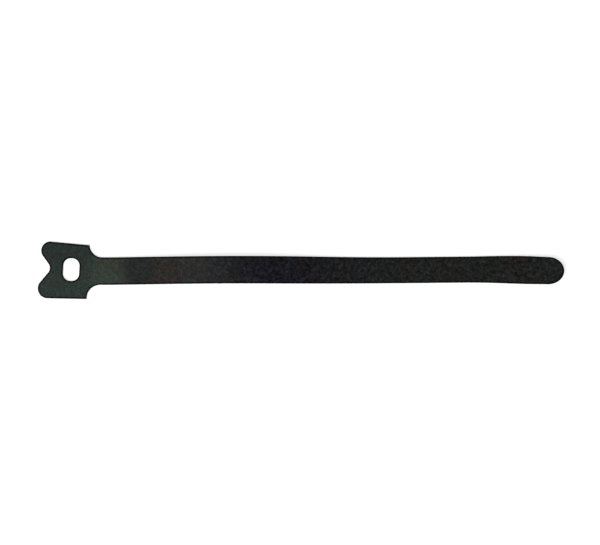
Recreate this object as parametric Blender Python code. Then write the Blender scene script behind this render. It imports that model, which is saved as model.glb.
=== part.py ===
"""Hook and loop cable tie, laid out flat as it comes to rest: one piece die-cut from a back-to-back tape.

The tape carries rows of moulded hooks on its underside and a brushed loop pile on top. The die cuts a
notched head with a slot, a strap that is threaded through that slot, and a round tip. The tie is modelled
flat, as the die cuts it, and then laid on a table: its head a little askew, a low hump in the strap and a
curled tip. The hooks of a row share one mushroom profile, so each row is a rail of that profile.

Metres, +Z up. X runs along the strap from the head to the tip, and the loop pile faces up.
The origin is on the table, under the middle of the tie.
"""

import math

import bmesh
import bpy

# Strap
OVERALL_LENGTH = 0.2500
NECK_WIDTH = 0.0131
WAIST_WIDTH = 0.0124
TAIL_WIDTH = 0.0133
TIP_WIDTH = 0.0130
TIP_LENGTH = 0.0076

# Slot in the head: the strap is pinched a little as it passes through
STRAP_PINCH = 0.0023
SLOT_GAP = 0.0077
SLOT_CORNER_RADIUS = 0.0035

# Bands of tape around the slot. The die sits a little to one side, so the far band is the slimmer
FRONT_BAND = 0.0042
REAR_BAND = 0.0063
FAR_BAND = 0.0067
NEAR_BAND = 0.0082

# The head's sides flare towards two lobes, with a notch between them
HEAD_FLARE = math.radians(2.1)
NOTCH_DEPTH = 0.0052
NOTCH_ROOT_RADIUS = 0.0034
FAR_LOBE_RADIUS = 0.0043
NEAR_LOBE_RADIUS = 0.0047
FAR_LOBE_SETBACK = 0.0006
SHOULDER_RADIUS = 0.0063

# Layers of the tape, from the table up
HOOK_HEIGHT = 0.0005
TAPE_THICKNESS = 0.0007
PILE_HEIGHT = 0.0008
PILE_ROUNDING = 0.0006

# Rows of hooks, which run along the tape. Their mushroom heads touch the table
ROW_PITCH = 0.0012
STEM_WIDTH = 0.0003
HOOK_HEAD_WIDTH = 0.0007
HOOK_HEAD_THICKNESS = 0.0002
ROOT_DEPTH = 0.0002
ROW_CLEARANCE = 0.0004
SHORTEST_ROW = 0.0015

# How the tie lies. Shares are of the strap's length, from the head's shoulders to the tip
HEAD_TURN = math.radians(3.5)
NECK_BEND_LENGTH = 0.008
STRAP_SLANT = math.radians(0.78)
SLANT_LENGTH = 0.055
TAIL_TURN = math.radians(1.2)
TAIL_BEND_LENGTH = 0.020
WANDER = 0.0002
WANDER_WAVELENGTH = 0.122
WANDER_PEAK_SHARE = 0.32
HUMP_START_SHARE = 0.03
HUMP_END_SHARE = 0.58
HUMP_HEIGHT = 0.0030
CURL_START_SHARE = 0.78
CURL_HEIGHT = 0.0036
HUMP_ROLL = math.radians(5.0)
CURL_ROLL = math.radians(-6.0)

# Where the strap's width changes, as shares of its length
NECK_END_SHARE = 0.36
WAIST_START_SHARE = 0.66
WAIST_END_SHARE = 0.79
TAIL_START_SHARE = 0.92
TIP_START_SHARE = 0.97

# Fineness of the model
ARC_STEP = math.radians(10.0)
SLICE_LENGTH = 0.006
PILE_STEPS = 4
FLAT_ANGLE = math.radians(0.03)

slot_width = NECK_WIDTH - STRAP_PINCH
head_length = NOTCH_DEPTH + REAR_BAND + SLOT_GAP + FRONT_BAND
strap_length = OVERALL_LENGTH - head_length
tape_top = HOOK_HEIGHT + TAPE_THICKNESS


def clear_scene():
    """Removes what the startup file holds."""
    for obj in list(bpy.data.objects):
        bpy.data.objects.remove(obj)


def smooth(share):
    """Eases from 0 to 1 as share does, and holds outside that range."""
    share = min(max(share, 0.0), 1.0)
    return share * share * (3.0 - 2.0 * share)


def strap_share(x):
    """How far along the strap x lies: 0 at the head's shoulders, 1 at the tip."""
    return (x - head_length) / strap_length


def strap_half_width(x):
    """Half the strap's width: slimmest at its waist, widest in the tail, a little less at the tip."""
    share = strap_share(x)
    to_waist = smooth((share - NECK_END_SHARE) / (WAIST_START_SHARE - NECK_END_SHARE))
    to_tail = smooth((share - WAIST_END_SHARE) / (TAIL_START_SHARE - WAIST_END_SHARE))
    to_tip = smooth((share - TAIL_START_SHARE) / (TIP_START_SHARE - TAIL_START_SHARE))
    width = NECK_WIDTH + (WAIST_WIDTH - NECK_WIDTH) * to_waist
    width += (TAIL_WIDTH - WAIST_WIDTH) * to_tail + (TIP_WIDTH - TAIL_WIDTH) * to_tip
    return width / 2


def arc(centre, radius, start, end):
    """Points on an arc from angle start to angle end, both included."""
    steps = max(2, math.ceil(abs(end - start) / ARC_STEP))
    angles = [start + (end - start) * i / steps for i in range(steps + 1)]
    return [(centre[0] + radius * math.cos(a), centre[1] + radius * math.sin(a)) for a in angles]


def half_outline(band, lobe_radius, setback):
    """One half of the outline, drawn at +Y, from the end of the tip's round to the notch."""
    neck_half = NECK_WIDTH / 2
    head_half = slot_width / 2 + band

    # The strap's edge, from the tip back to the neck
    edge_end = OVERALL_LENGTH - TIP_LENGTH
    neck_start = head_length + SHOULDER_RADIUS
    slices = math.ceil((edge_end - neck_start) / SLICE_LENGTH)
    stations = [edge_end + (neck_start - edge_end) * i / slices for i in range(1, slices)]
    points = [(x, strap_half_width(x)) for x in stations]

    # The shoulder is a hollow round that turns up to the head's corner
    rise = head_half - neck_half
    turn = math.acos(max(0.0, 1.0 - rise / SHOULDER_RADIUS))
    centre = (neck_start, neck_half + SHOULDER_RADIUS)
    quarter = math.pi / 2
    points += arc(centre, SHOULDER_RADIUS, -quarter, -quarter - turn)
    if rise > SHOULDER_RADIUS:
        points.append((head_length, head_half))

    # The lobe rounds from the flared side of the head into the notch's flank
    lobe_x = setback + lobe_radius
    side_there = head_half + math.tan(HEAD_FLARE) * (head_length - lobe_x)
    lobe = (lobe_x, side_there - lobe_radius / math.cos(HEAD_FLARE))
    root = (NOTCH_DEPTH - NOTCH_ROOT_RADIUS, 0.0)
    across = (root[0] - lobe[0], root[1] - lobe[1])
    lean = math.asin((lobe_radius + NOTCH_ROOT_RADIUS) / math.hypot(*across))
    heading = math.atan2(across[1], across[0]) + lean
    points += arc(lobe, lobe_radius, quarter - HEAD_FLARE, heading + 2 * math.pi - quarter)

    # The notch's root, as far as the centre line
    points += arc(root, NOTCH_ROOT_RADIUS, heading + quarter, 0.0)
    return points


def die_outline():
    """The tie's outline as the die cuts it, anticlockwise from the tip, which is half an oval."""
    half_round = arc((0.0, 0.0), TIP_WIDTH / 2, -math.pi / 2, math.pi / 2)
    stretch = TIP_LENGTH / (TIP_WIDTH / 2)
    tip = [(OVERALL_LENGTH - TIP_LENGTH + x * stretch, y) for x, y in half_round]
    far = half_outline(FAR_BAND, FAR_LOBE_RADIUS, FAR_LOBE_SETBACK)
    near = [(x, -y) for x, y in half_outline(NEAR_BAND, NEAR_LOBE_RADIUS, 0.0)]
    return tip + far + near[-2::-1]


def slot_outline():
    """The slot, clockwise: a rectangle with well rounded corners."""
    left = NOTCH_DEPTH + REAR_BAND
    half = slot_width / 2
    radius = min(SLOT_CORNER_RADIUS, 0.49 * SLOT_GAP, 0.49 * slot_width)
    points = []
    for quadrant in range(4):
        start = quadrant * math.pi / 2
        x = left + SLOT_GAP - radius if quadrant in (0, 3) else left + radius
        y = half - radius if quadrant in (0, 1) else radius - half
        points += arc((x, y), radius, start, start + math.pi / 2)
    return points[::-1]


def inset_outline(points, distance):
    """The outline moved into the material by distance, corner by corner."""
    moved = []
    for i, (x, y) in enumerate(points):
        before, after = points[i - 1], points[(i + 1) % len(points)]
        into = (x - before[0], y - before[1])
        out_of = (after[0] - x, after[1] - y)
        a = math.atan2(into[1], into[0])
        b = math.atan2(out_of[1], out_of[0])
        half_turn = math.remainder(b - a, 2 * math.pi) / 2
        normal = a + half_turn + math.pi / 2
        reach = distance / math.cos(half_turn)
        moved.append((x + reach * math.cos(normal), y + reach * math.sin(normal)))
    return moved


def tape_section():
    """(inset, height) up the cut edge: the tape is cut square and the pile rounds over."""
    section = [(0.0, HOOK_HEIGHT), (0.0, tape_top)]
    for step in range(1, PILE_STEPS + 1):
        angle = math.pi / 2 * step / PILE_STEPS
        section.append((PILE_ROUNDING * (1 - math.cos(angle)), tape_top + PILE_HEIGHT * math.sin(angle)))
    return section


def cut_tape():
    """The flat tie as a closed mesh: the outline and the slot, stacked up the section and capped."""
    mesh = bmesh.new()
    section = tape_section()
    caps = {0: [], len(section) - 1: []}
    for outline in (die_outline(), slot_outline()):
        rings = []
        for inset, height in section:
            rings.append([mesh.verts.new((x, y, height)) for x, y in inset_outline(outline, inset)])
        for lower, upper in zip(rings, rings[1:]):
            for i in range(len(lower)):
                j = (i + 1) % len(lower)
                mesh.faces.new((lower[i], lower[j], upper[j], upper[i]))
        for level, edges in caps.items():
            ring = rings[level]
            edges += [mesh.edges.get((ring[i - 1], ring[i])) for i in range(len(ring))]
    for edges in caps.values():
        bmesh.ops.triangle_fill(mesh, use_beauty=True, edges=edges)
    bmesh.ops.recalc_face_normals(mesh, faces=mesh.faces)
    return mesh


def spans_along(y, outlines):
    """Where the line at y runs inside the outlines: pairs of x."""
    crossings = []
    for outline in outlines:
        for i, (x, end_y) in enumerate(outline):
            before_x, before_y = outline[i - 1]
            if (before_y > y) != (end_y > y):
                crossings.append(x + (before_x - x) * (y - end_y) / (before_y - end_y))
    crossings.sort()
    return list(zip(crossings[::2], crossings[1::2]))


def hook_rows():
    """(y, start, end) of each row of hooks. A row keeps clear of the cut, and stops at the slot."""
    outlines = [inset_outline(outline, ROW_CLEARANCE) for outline in (die_outline(), slot_outline())]
    widest = max(abs(y) for _, y in outlines[0])
    reach = math.floor(widest / ROW_PITCH)
    rows = []
    for number in range(-reach, reach + 1):
        y = number * ROW_PITCH
        for low in spans_along(y - HOOK_HEAD_WIDTH / 2, outlines):
            for high in spans_along(y + HOOK_HEAD_WIDTH / 2, outlines):
                start, end = max(low[0], high[0]), min(low[1], high[1])
                if end - start > SHORTEST_ROW:
                    rows.append((y, start, end))
    return rows


def hook_profile():
    """(across, height) round one row's mushroom profile, from its root in the tape down to the head."""
    root, neck = HOOK_HEIGHT + ROOT_DEPTH, HOOK_HEAD_THICKNESS
    stem, head = STEM_WIDTH / 2, HOOK_HEAD_WIDTH / 2
    right = [(stem, root), (stem, neck), (head, neck), (head, 0.0)]
    return right + [(-across, height) for across, height in right[::-1]]


def mould_hooks():
    """All rows of hooks of the flat tie, each a closed rail."""
    mesh = bmesh.new()
    for y, start, end in hook_rows():
        rings = []
        for x in (start, end):
            rings.append([mesh.verts.new((x, y + across, height)) for across, height in hook_profile()])
        first, last = rings
        mesh.faces.new(first)
        mesh.faces.new(last[::-1])
        for i in range(len(first)):
            mesh.faces.new((first[i - 1], last[i - 1], last[i], first[i]))
    bmesh.ops.recalc_face_normals(mesh, faces=mesh.faces)
    return mesh


def joined(mesh, other):
    """The union of two closed meshes, with what lies flat merged."""
    objects = []
    for part_mesh in (mesh, other):
        data = bpy.data.meshes.new("flat")
        part_mesh.to_mesh(data)
        part_mesh.free()
        objects.append(bpy.data.objects.new("flat", data))
        bpy.context.scene.collection.objects.link(objects[-1])
    union = objects[0].modifiers.new("rows", "BOOLEAN")
    union.operation = "UNION"
    union.solver = "EXACT"
    union.object = objects[1]
    depsgraph = bpy.context.evaluated_depsgraph_get()
    whole = bmesh.new()
    whole.from_object(objects[0], depsgraph)
    for obj in objects:
        bpy.data.objects.remove(obj)
    bmesh.ops.dissolve_limit(whole, angle_limit=FLAT_ANGLE, verts=whole.verts, edges=whole.edges)
    return whole


def slice_across(mesh):
    """Cuts the flat tie across at even steps, so that it can bend along its length."""
    slices = math.ceil(OVERALL_LENGTH / SLICE_LENGTH)
    for i in range(1, slices):
        everything = mesh.verts[:] + mesh.edges[:] + mesh.faces[:]
        at = (OVERALL_LENGTH * i / slices, 0.0, 0.0)
        bmesh.ops.bisect_plane(mesh, geom=everything, dist=1e-5, plane_co=at, plane_no=(1.0, 0.0, 0.0))


def hump(x):
    """0 to 1: the low hump where the strap stands clear of the table."""
    share = (strap_share(x) - HUMP_START_SHARE) / (HUMP_END_SHARE - HUMP_START_SHARE)
    return math.sin(math.pi * min(max(share, 0.0), 1.0)) ** 2


def curl(x):
    """0 to 1: the curl that lifts the tip."""
    share = (strap_share(x) - CURL_START_SHARE) / (1.0 - CURL_START_SHARE)
    return max(share, 0.0) ** 2


def lift(x):
    return HUMP_HEIGHT * hump(x) + CURL_HEIGHT * curl(x)


def roll(x):
    return HUMP_ROLL * hump(x) + CURL_ROLL * curl(x)


def eased_turn(beyond, bend_length, angle):
    """How far a centre line has turned aside, that distance beyond the start of a bend of that length."""
    beyond = max(beyond, 0.0)
    if beyond > bend_length:
        return math.tan(angle) * (beyond - bend_length / 2)
    return math.tan(angle) * beyond**2 / (2 * bend_length)


def sideways(x):
    """How far the centre line strays: an askew head, a strap that leaves it slanting, a tail turned away."""
    neck = head_length + SHOULDER_RADIUS + NECK_BEND_LENGTH / 2
    head_side = eased_turn(neck - x, NECK_BEND_LENGTH, HEAD_TURN)
    slant = eased_turn(neck + SLANT_LENGTH - x, SLANT_LENGTH, STRAP_SLANT)
    tail_side = eased_turn(x - (OVERALL_LENGTH - 2 * TAIL_BEND_LENGTH), TAIL_BEND_LENGTH, TAIL_TURN)
    phase = (strap_share(x) - WANDER_PEAK_SHARE) * strap_length / WANDER_WAVELENGTH
    return head_side - slant - tail_side + WANDER * math.cos(2 * math.pi * phase)


def laid(point):
    """Where a point of the flat tie comes to lie."""
    x, y, z = point
    probe = SLICE_LENGTH / 10
    heading = math.atan2(sideways(x + probe) - sideways(x - probe), 2 * probe)
    pitch = math.atan2(lift(x + probe) - lift(x - probe), 2 * probe)
    across = y * math.cos(roll(x)) - z * math.sin(roll(x))
    up = y * math.sin(roll(x)) + z * math.cos(roll(x))
    along = -up * math.sin(pitch)
    return (
        x + along * math.cos(heading) - across * math.sin(heading),
        sideways(x) + along * math.sin(heading) + across * math.cos(heading),
        lift(x) + up * math.cos(pitch),
    )


def lay_down(mesh):
    """Bends the flat tie as it lies, and puts the origin under its middle."""
    for vert in mesh.verts:
        vert.co = laid(vert.co)
    for axis in (0, 1):
        places = [vert.co[axis] for vert in mesh.verts]
        middle = (min(places) + max(places)) / 2
        for vert in mesh.verts:
            vert.co[axis] -= middle


def tape_material():
    """Black hook and loop tape, matt."""
    material = bpy.data.materials.new("hook_and_loop_tape")
    material.use_nodes = True
    shader = material.node_tree.nodes["Principled BSDF"]
    shader.inputs["Base Color"].default_value = (0.020, 0.022, 0.022, 1.0)
    shader.inputs["Roughness"].default_value = 0.85
    shader.inputs["Metallic"].default_value = 0.0
    return material


def make_cable_tie():
    """The whole tie is one piece of tape, so it is one object."""
    mesh = joined(cut_tape(), mould_hooks())
    slice_across(mesh)
    lay_down(mesh)
    data = bpy.data.meshes.new("cable_tie")
    mesh.to_mesh(data)
    mesh.free()
    data.materials.append(tape_material())
    data.shade_smooth()
    data.set_sharp_from_angle(angle=math.radians(35.0))
    tie = bpy.data.objects.new("cable_tie", data)
    bpy.context.scene.collection.objects.link(tie)
    return tie


clear_scene()
make_cable_tie()
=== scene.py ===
"""Hook and loop cable tie: the finish of the packed part.

The tape, its brushed loop pile, the fibres along its cut edges and the moulded hooks are each drawn on the
flat tie, as the die cuts it, and then laid on the table by one function.
Flat coordinates: x along the strap from the head's end, y across it, z up from the table, all in metres.
"""

import math
from typing import NamedTuple

import bpy
import numpy as np
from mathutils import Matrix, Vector, geometry, noise


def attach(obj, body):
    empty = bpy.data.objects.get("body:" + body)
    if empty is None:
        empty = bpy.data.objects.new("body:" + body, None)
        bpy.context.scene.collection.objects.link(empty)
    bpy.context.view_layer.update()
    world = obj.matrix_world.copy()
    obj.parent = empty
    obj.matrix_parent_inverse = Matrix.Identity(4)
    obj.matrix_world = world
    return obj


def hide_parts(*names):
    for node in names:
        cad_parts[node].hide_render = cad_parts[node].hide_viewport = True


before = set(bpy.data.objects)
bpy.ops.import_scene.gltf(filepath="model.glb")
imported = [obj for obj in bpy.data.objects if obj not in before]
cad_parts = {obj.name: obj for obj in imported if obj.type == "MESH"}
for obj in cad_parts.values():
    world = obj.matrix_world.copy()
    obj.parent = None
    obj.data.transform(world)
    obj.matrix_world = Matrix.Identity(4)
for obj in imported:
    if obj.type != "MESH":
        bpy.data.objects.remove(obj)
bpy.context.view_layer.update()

bl_info = {
    "name": "Hook and Loop Cable Tie",
    "version": (1, 0, 0),
    "blender": (4, 5, 0),
    "location": "3D View > Sidebar > Cable Tie",
    "description": "Builds a die-cut cable tie of back-to-back hook and loop tape, fibre by fibre",
    "category": "Object",
}

CAD_NODE = "cable_tie"
MM = 0.001

# A map of this name is for baking the strands' colours. Each strand has a cell of it, less this margin
BAKE_MAP = "OFBake"
CELL_MARGIN = 0.12


def length(name, default, description):
    """A size that a user may change."""
    return bpy.props.FloatProperty(
        name=name, description=description, default=default, min=0.0, precision=5, unit="LENGTH"
    )


def place_on_table(name, default, description):
    """A place on the table, along one axis, that a user may change."""
    return bpy.props.FloatProperty(
        name=name, description=description, default=default, precision=5, unit="LENGTH"
    )


def angle(name, default, description):
    """An angle that a user may change, with its default in degrees."""
    return bpy.props.FloatProperty(
        name=name, description=description, default=math.radians(default), subtype="ANGLE"
    )


def share(name, default, description):
    """A share from 0 to 1 that a user may change."""
    return bpy.props.FloatProperty(
        name=name, description=description, default=default, min=0.0, max=1.0, subtype="FACTOR"
    )


def colour(name, default, description):
    """A colour that a user may change."""
    return bpy.props.FloatVectorProperty(
        name=name, description=description, default=default, size=3, min=0.0, max=1.0, subtype="COLOR"
    )


def count(name, default, description):
    """A number of copies that a user may change."""
    return bpy.props.IntProperty(name=name, description=description, default=default, min=1)


class TieSizes(bpy.types.PropertyGroup):
    """The flat tie as the die cuts it."""

    overall_length: length("Overall length", 0.250, "From the near lobe's end to the tip")
    neck_width: length("Neck width", 0.0131, "Strap width by the head")
    waist_width: length("Waist width", 0.0124, "Strap width where it is slimmest")
    tail_width: length("Tail width", 0.0133, "Strap width before the tip")
    tip_width: length("Tip width", 0.0130, "Width of the half oval that ends the strap")
    tip_length: length("Tip length", 0.0076, "Length of the half oval that ends the strap")
    strap_pinch: length("Strap pinch", 0.0023, "How much narrower the slot is than the strap")
    slot_gap: length("Slot gap", 0.0077, "Size of the slot along the strap")
    slot_corner: length("Slot corner", 0.0035, "Radius of the slot's corners")
    front_band: length("Front band", 0.0042, "Tape between the slot and the shoulders")
    rear_band: length("Rear band", 0.0063, "Tape between the slot and the notch")
    far_band: length("Far band", 0.0067, "Tape beside the slot on the far side")
    near_band: length("Near band", 0.0082, "Tape beside the slot on the near side")
    head_flare: angle("Head flare", 2.1, "How much each side of the head opens towards its lobe")
    notch_depth: length("Notch depth", 0.0052, "From the near lobe's end to the notch's root")
    notch_root: length("Notch root", 0.0034, "Radius of the notch's root")
    far_lobe: length("Far lobe", 0.0043, "Radius of the lobe on the far side")
    near_lobe: length("Near lobe", 0.0047, "Radius of the lobe on the near side")
    far_setback: length("Far lobe setback", 0.0006, "How much shorter the far lobe is")
    shoulder: length("Shoulder", 0.0063, "Radius of the hollow shoulders")
    neck_end: share("Neck end", 0.36, "Where along the strap it begins to narrow")
    waist_start: share("Waist start", 0.66, "Where along the strap it is slimmest")
    waist_end: share("Waist end", 0.79, "Where along the strap it begins to widen")
    tail_start: share("Tail start", 0.92, "Where along the strap it is widest")
    tip_start: share("Tip start", 0.97, "Where along the strap it has the tip's width")


class TieLayers(bpy.types.PropertyGroup):
    """The tape's layers, from the table up."""

    hook_height: length("Hook height", 0.0005, "How tall the moulded hooks stand")
    tape: length("Tape", 0.0007, "Thickness of the tape between hooks and pile")
    film: share("Film", 0.34, "Share of the tape's thickness that is the hooks' moulded film")
    pile: length("Pile", 0.0008, "Height of the brushed pile")
    pile_mat: length("Matted pile", 0.00040, "Height to which the pile is a closed mat")
    pile_rounding: length("Pile rounding", 0.0006, "Width over which the pile rounds down to the cut")
    clump: length("Clump height", 0.00010, "How far the mat swells and sinks in soft clumps")
    curl: length("Curl height", 0.00022, "How far matted curls stand out of the mat")


class TieLay(bpy.types.PropertyGroup):
    """How the tie lies on the table."""

    head_turn: angle("Head turn", 3.5, "How far the head is turned from the strap")
    neck_bend: length("Neck bend", 0.008, "Length of the bend at the neck")
    slant: angle("Slant", 0.78, "How far the strap leans away as it leaves the head")
    slant_length: length("Slant length", 0.055, "Length over which the strap straightens")
    tail_turn: angle("Tail turn", 1.2, "How far the tail is turned from the strap")
    tail_bend: length("Tail bend", 0.020, "Length of the bend at the tail")
    wander: length("Wander", 0.0002, "How far the strap's line strays")
    wavelength: length("Wavelength", 0.122, "Length of one stray to and fro")
    wander_peak: share("Wander peak", 0.32, "Where along the strap it strays most")
    hump_start: share("Hump start", 0.03, "Where along the strap it leaves the table")
    hump_end: share("Hump end", 0.58, "Where along the strap it meets the table again")
    hump_height: length("Hump height", 0.0030, "How far it stands clear of the table")
    curl_start: share("Curl start", 0.78, "Where along the strap the tail begins to lift")
    curl_height: length("Curl height", 0.0036, "How far the tip is lifted")
    hump_roll: angle("Hump roll", 5.0, "How far the strap leans over at the hump")
    curl_roll: angle("Curl roll", -6.0, "How far the tip leans over")


class TieFibres(bpy.types.PropertyGroup):
    """The brushed pile and the loose fibres."""

    matted_count: count("Matted curls", 15000, "Curls that are pressed into the mat")
    short_count: count("Short fibres", 7400, "Short fibres that lie over the mat")
    loop_count: count("Loops", 8900, "Open loops that stand above the mat")
    stray_count: count("Edge fibres", 1300, "Fibres that the cut left standing along the edges")
    thickness: length("Fibre thickness", 0.000085, "Thickness of a strand")
    curl_width: length("Curl width", 0.00034, "Width of a matted curl, which is many strands")
    rim: length("Bare rim", 0.00040, "Rim that the hot die leaves bare along the cut")


class TieHooks(bpy.types.PropertyGroup):
    """The moulded hooks of the underside: rails of a mushroom profile, slit into single hooks."""

    row_pitch: length("Row pitch", 0.0012, "From one row of hooks to the next, across the strap")
    stem: length("Stem width", 0.0003, "Width of a hook's stem across its row")
    head: length("Head width", 0.0007, "Width of a hook's head across its row")
    head_thickness: length("Head thickness", 0.0002, "Thickness of a hook's head")
    clearance: length("Row clearance", 0.0004, "How far the rows keep from the cut")
    shortest: length("Shortest row", 0.0015, "Rows shorter than this are left out")
    slit_pitch: length("Slit pitch", 0.00062, "From one slit to the next, along a row")
    slit: length("Slit", 0.00026, "Gap that a slit opens between two hooks")


class TieColours(bpy.types.PropertyGroup):
    """Tones of the black tape, where use and painted light and shade leave it different."""

    # Painted light: head, neck, brown and start are painted paler. Painted shade: the shadow stretch
    head: colour("Head", (0.0278, 0.0380, 0.0342), "Worn head, a greener grey")
    neck: colour("Neck", (0.0425, 0.0525, 0.0410), "Start of the strap, the most faded")
    crease: colour("Crease", (0.0220, 0.0245, 0.0250), "Dark stretch behind the neck")
    brown: colour("Brown", (0.0299, 0.0283, 0.0267), "Faded brownish stretch past the crease")
    start: colour("Start", (0.0300, 0.0308, 0.0314), "First part of the strap, dark grey")
    middle: colour("Middle", (0.0073, 0.0069, 0.0109), "Middle of the strap, nearly black")
    tail: colour("Tail", (0.0137, 0.0145, 0.0141), "Tail of the strap")
    plastic: colour("Hook plastic", (0.0120, 0.0122, 0.0125), "Moulded hooks and their film")


class TieStage(bpy.types.PropertyGroup):
    """Camera, table and light. The photograph is 600 by 545 pixels."""

    picture_width: length("Picture width", 0.2859, "What the picture's width takes in at the table")
    aim_x: place_on_table("Aim along", -0.00039, "Where the camera aims, along the strap")
    aim_y: place_on_table("Aim across", -0.00104, "Where the camera aims, across the strap")
    camera_height: length("Camera height", 1.60, "Height of the camera above the table")
    sky: share("Sky", 0.464, "Strength of the even light from all round")
    backdrop: share("Backdrop", 0.91, "How pale the sky looks: like the far end of the table")
    glow: share("Table glow", 0.66, "How much of the table's white shows whatever light falls on it")
    lamp_power: bpy.props.FloatProperty(
        name="Lamp power", description="Power of the soft lamp", default=19.3, min=0.0, unit="POWER"
    )


def smooth(value):
    """Eases from 0 to 1 as value does, and holds outside that range."""
    value = np.clip(value, 0.0, 1.0)
    return value * value * (3.0 - 2.0 * value)


def head_length(s):
    """From the near lobe's end to the head's shoulders."""
    return s.notch_depth + s.rear_band + s.slot_gap + s.front_band


def strap_share(s, x):
    """How far along the strap x lies: 0 at the head's shoulders, 1 at the tip."""
    return (x - head_length(s)) / (s.overall_length - head_length(s))


def strap_half_width(s, x):
    """Half the strap's width: slimmest at its waist, widest in the tail, a little less at the tip."""
    along = strap_share(s, x)
    to_waist = smooth((along - s.neck_end) / (s.waist_start - s.neck_end))
    to_tail = smooth((along - s.waist_end) / (s.tail_start - s.waist_end))
    to_tip = smooth((along - s.tail_start) / (s.tip_start - s.tail_start))
    width = s.neck_width + (s.waist_width - s.neck_width) * to_waist
    width = width + (s.tail_width - s.waist_width) * to_tail + (s.tip_width - s.tail_width) * to_tip
    return width / 2


ARC_STEP = math.radians(3.0)
STATION_STEP = 2.5 * MM


def arc(centre, radius, start, end):
    """Points on an arc from angle start to angle end, both included."""
    steps = max(2, math.ceil(abs(end - start) / ARC_STEP))
    angles = np.linspace(start, end, steps + 1)
    return np.column_stack((centre[0] + radius * np.cos(angles), centre[1] + radius * np.sin(angles)))


def half_outline(s, band, lobe_radius, setback):
    """One half of the outline, drawn at +Y, from the end of the tip's round to the notch."""
    neck_half = s.neck_width / 2
    head_half = (s.neck_width - s.strap_pinch) / 2 + band
    head = head_length(s)
    quarter = math.pi / 2

    edge_end = s.overall_length - s.tip_length
    neck_start = head + s.shoulder
    slices = math.ceil((edge_end - neck_start) / STATION_STEP)
    x = np.linspace(edge_end, neck_start, slices + 1)[1:-1]
    edge = np.column_stack((x, strap_half_width(s, x)))

    rise = head_half - neck_half
    turn = math.acos(max(0.0, 1.0 - rise / s.shoulder))
    shoulder = arc((neck_start, neck_half + s.shoulder), s.shoulder, -quarter, -quarter - turn)
    corner = np.array([[head, head_half]]) if rise > s.shoulder else np.empty((0, 2))

    lobe_x = setback + lobe_radius
    side_there = head_half + math.tan(s.head_flare) * (head - lobe_x)
    lobe = (lobe_x, side_there - lobe_radius / math.cos(s.head_flare))
    root = (s.notch_depth - s.notch_root, 0.0)
    across = (root[0] - lobe[0], root[1] - lobe[1])
    lean = math.asin((lobe_radius + s.notch_root) / math.hypot(*across))
    heading = math.atan2(across[1], across[0]) + lean
    lobe_round = arc(lobe, lobe_radius, quarter - s.head_flare, heading + 2 * math.pi - quarter)
    root_round = arc(root, s.notch_root, heading + quarter, 0.0)
    return np.vstack((edge, shoulder, corner, lobe_round, root_round))


def outline_loop(s):
    """The tie's outline, anticlockwise from the start of the tip, which is half an oval."""
    half_round = arc((0.0, 0.0), s.tip_width / 2, -math.pi / 2, math.pi / 2)
    stretch = (s.tip_length / (s.tip_width / 2), 1.0)
    tip = half_round * stretch + (s.overall_length - s.tip_length, 0.0)
    far = half_outline(s, s.far_band, s.far_lobe, s.far_setback)
    near = half_outline(s, s.near_band, s.near_lobe, 0.0) * (1.0, -1.0)
    return np.vstack((tip, far, near[-2::-1]))


def slot_loop(s):
    """The slot, clockwise: a rectangle with well rounded corners."""
    left = s.notch_depth + s.rear_band
    half = (s.neck_width - s.strap_pinch) / 2
    radius = min(s.slot_corner, 0.49 * s.slot_gap, 0.98 * half)
    corners = []
    for quadrant in range(4):
        x = left + s.slot_gap - radius if quadrant in (0, 3) else left + radius
        y = half - radius if quadrant in (0, 1) else radius - half
        start = quadrant * math.pi / 2
        corners.append(arc((x, y), radius, start, start + math.pi / 2))
    return np.vstack(corners)[::-1]


def cut_loops(s):
    """What the die cuts: the outline, and the slot in it."""
    return [outline_loop(s), slot_loop(s)]


def divided(loop, step):
    """The loop with points added, so that none of its edges is longer than step."""
    pieces = []
    for start, end in zip(loop, np.roll(loop, -1, axis=0)):
        parts = max(1, math.ceil(np.linalg.norm(end - start) / step - 1e-6))
        shares = np.arange(parts)[:, None] / parts
        pieces.append(start + (end - start) * shares)
    return np.vstack(pieces)


def outward(loop):
    """Unit vectors that point out of the tape at each point of a loop."""
    ahead = np.roll(loop, -1, axis=0) - np.roll(loop, 1, axis=0)
    return np.column_stack((ahead[:, 1], -ahead[:, 0])) / np.linalg.norm(ahead, axis=1)[:, None]


def clearance(points, loops):
    """How far each point lies inside the cut tape, and below 0 outside it or in the slot."""
    found = []
    for part in np.array_split(points, math.ceil(len(points) / 4000)):
        nearest = np.full(len(part), np.inf)
        inside = np.zeros(len(part), bool)
        x, y = part[:, :1], part[:, 1:2]
        for loop in loops:
            ax, ay = loop.T
            bx, by = np.roll(loop, -1, axis=0).T
            dx, dy = bx - ax, by - ay
            along = ((x - ax) * dx + (y - ay) * dy) / np.maximum(dx * dx + dy * dy, 1e-18)
            along = np.clip(along, 0.0, 1.0)
            gap = np.hypot(x - ax - along * dx, y - ay - along * dy).min(axis=1)
            nearest = np.minimum(nearest, gap)
            spans = (ay > y) != (by > y)
            crossing = ax + (y - ay) * dx / np.where(dy == 0, 1e-18, dy)
            inside ^= (spans & (x < crossing)).sum(axis=1) % 2 == 1
        found.append(np.where(inside, nearest, -nearest))
    return np.concatenate(found)


def eased_turn(beyond, bend, turn):
    """How far a line has turned aside, that distance beyond the start of a bend."""
    beyond = np.maximum(beyond, 0.0)
    return math.tan(turn) * np.where(beyond > bend, beyond - bend / 2, beyond**2 / (2 * bend))


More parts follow.
